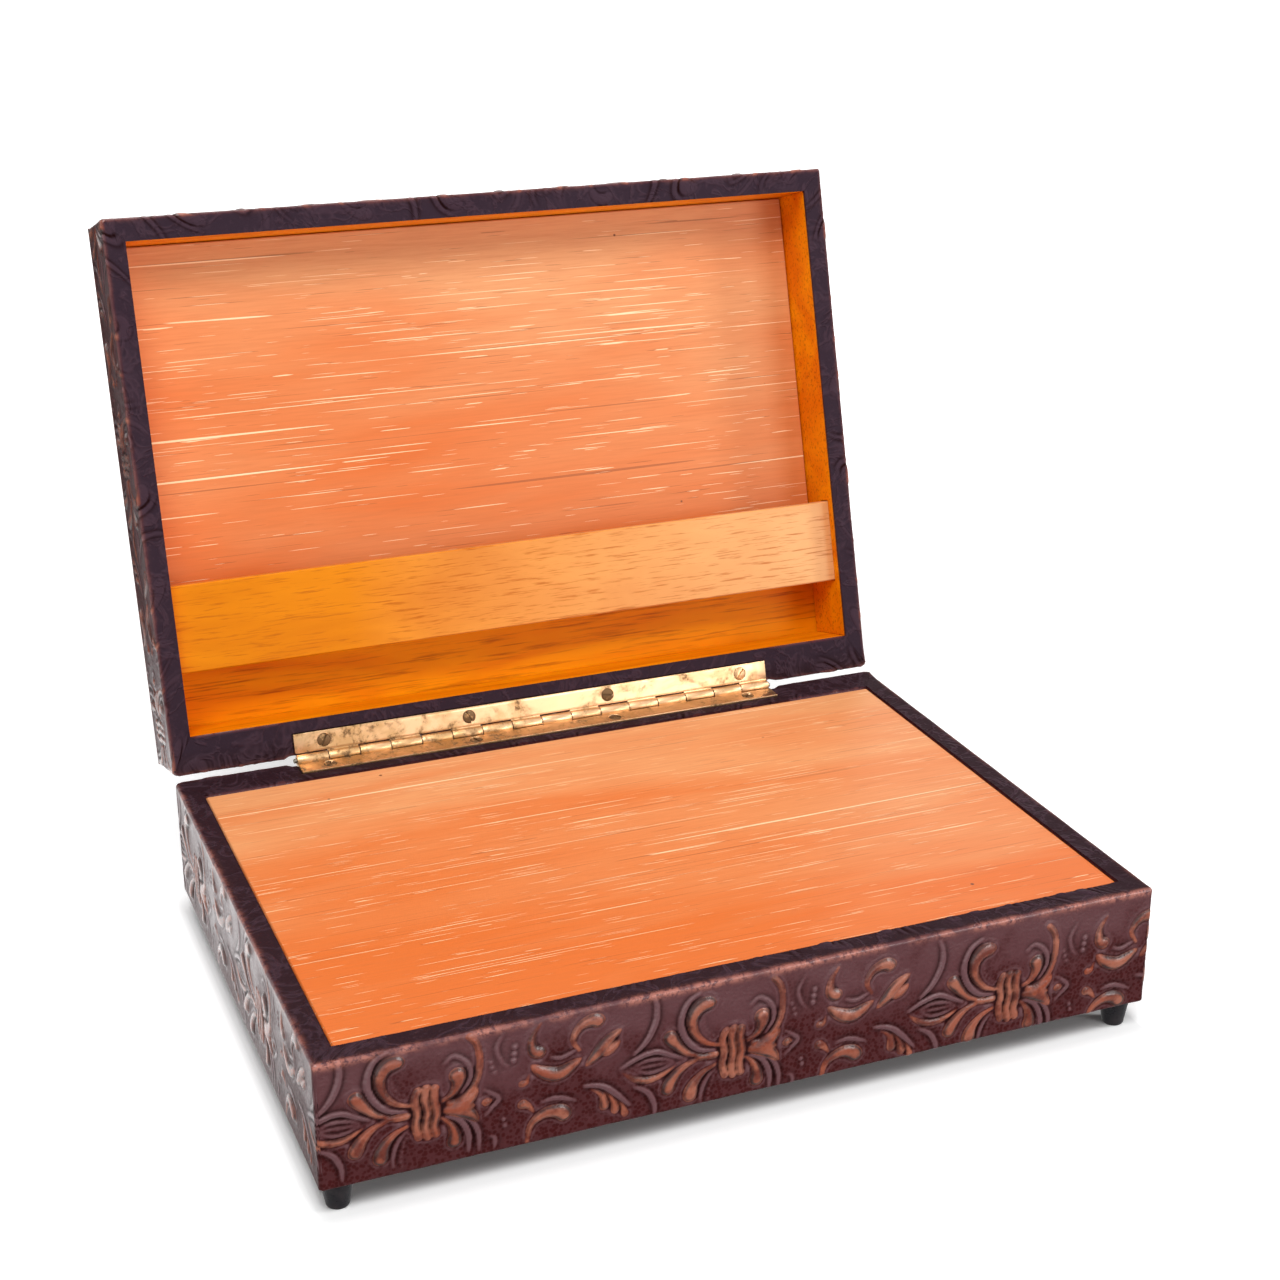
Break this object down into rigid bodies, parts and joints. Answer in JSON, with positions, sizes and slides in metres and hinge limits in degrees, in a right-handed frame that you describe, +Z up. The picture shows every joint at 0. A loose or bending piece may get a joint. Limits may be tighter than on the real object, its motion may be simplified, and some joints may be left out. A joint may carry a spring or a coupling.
{
  "type": "cigar humidor",
  "caption": "Leather-covered wooden cigar humidor, open on a brass piano hinge, with a lift-out veneered cover in the base, a barred lid recess and small turned feet.",
  "frame": {"origin": "on the table, under the middle of the box round the humidor with its lid open", "axes": "+Z up, the front of the base towards -Y, the hinge at the back towards +Y, +X along the hinge"},
  "size_m": [0.25, 0.2578, 0.2183],
  "materials": {
    "embossed_leather": "dark brown embossed hide, tan where the raised work is rubbed, waxed",
    "cedar_veneer": "salmon orange veneer with thin pale streaks, satin varnish",
    "varnished_wood": "deep orange varnish",
    "bar_wood": "golden brown wood, satin varnish",
    "brass": "aged brass with dull patches",
    "pin_steel": "dull steel wire",
    "black_wood": "black lacquer",
    "clay": "unglazed porous clay"
  },
  "bodies": {
    "base": {"base_board_front": "varnished_wood", "base_leather_front": "embossed_leather", "base_board_right": "varnished_wood", "base_leather_right": "embossed_leather", "base_board_back": "varnished_wood", "base_leather_back": "embossed_leather", "base_board_left": "varnished_wood", "base_leather_left": "embossed_leather", "base_liner_front": "varnished_wood", "base_liner_right": "varnished_wood", "base_liner_back": "varnished_wood", "base_liner_left": "varnished_wood", "base_floor": "varnished_wood", "foot_front_left": "black_wood", "foot_front_right": "black_wood", "foot_back_left": "black_wood", "foot_back_right": "black_wood", "hinge_leaf_base": "brass", "hinge_pin": "pin_steel", "base_hinge_screw_1": "brass", "base_hinge_screw_2": "brass", "base_hinge_screw_3": "brass", "base_hinge_screw_4": "brass"},
    "cover": {"cover_panel": "cedar_veneer"},
    "lid": {"lid_board_front": "varnished_wood", "lid_leather_front": "embossed_leather", "lid_board_right": "varnished_wood", "lid_leather_right": "embossed_leather", "lid_board_back": "varnished_wood", "lid_leather_back": "embossed_leather", "lid_board_left": "varnished_wood", "lid_leather_left": "embossed_leather", "lid_top_board": "varnished_wood", "lid_leather_top": "embossed_leather", "lid_panel": "cedar_veneer", "lid_bar": "bar_wood", "lid_hinge_screw_1": "brass", "lid_hinge_screw_2": "brass", "lid_hinge_screw_3": "brass", "lid_hinge_screw_4": "brass", "moistener_block": "clay", "hinge_leaf_lid": "brass"}
  },
  "joints": [
    {"name": "lid_hinge", "type": "hinge", "parent": "base", "child": "lid", "pos_m": [0, 0.04961, 0.0471], "axis": [1, 0, 0], "range_deg": [0, 106]},
    {"name": "cover_lift", "type": "slide", "parent": "base", "child": "cover", "axis": [0, 0, 1], "range_m": [0, 0.0045]}
  ]
}
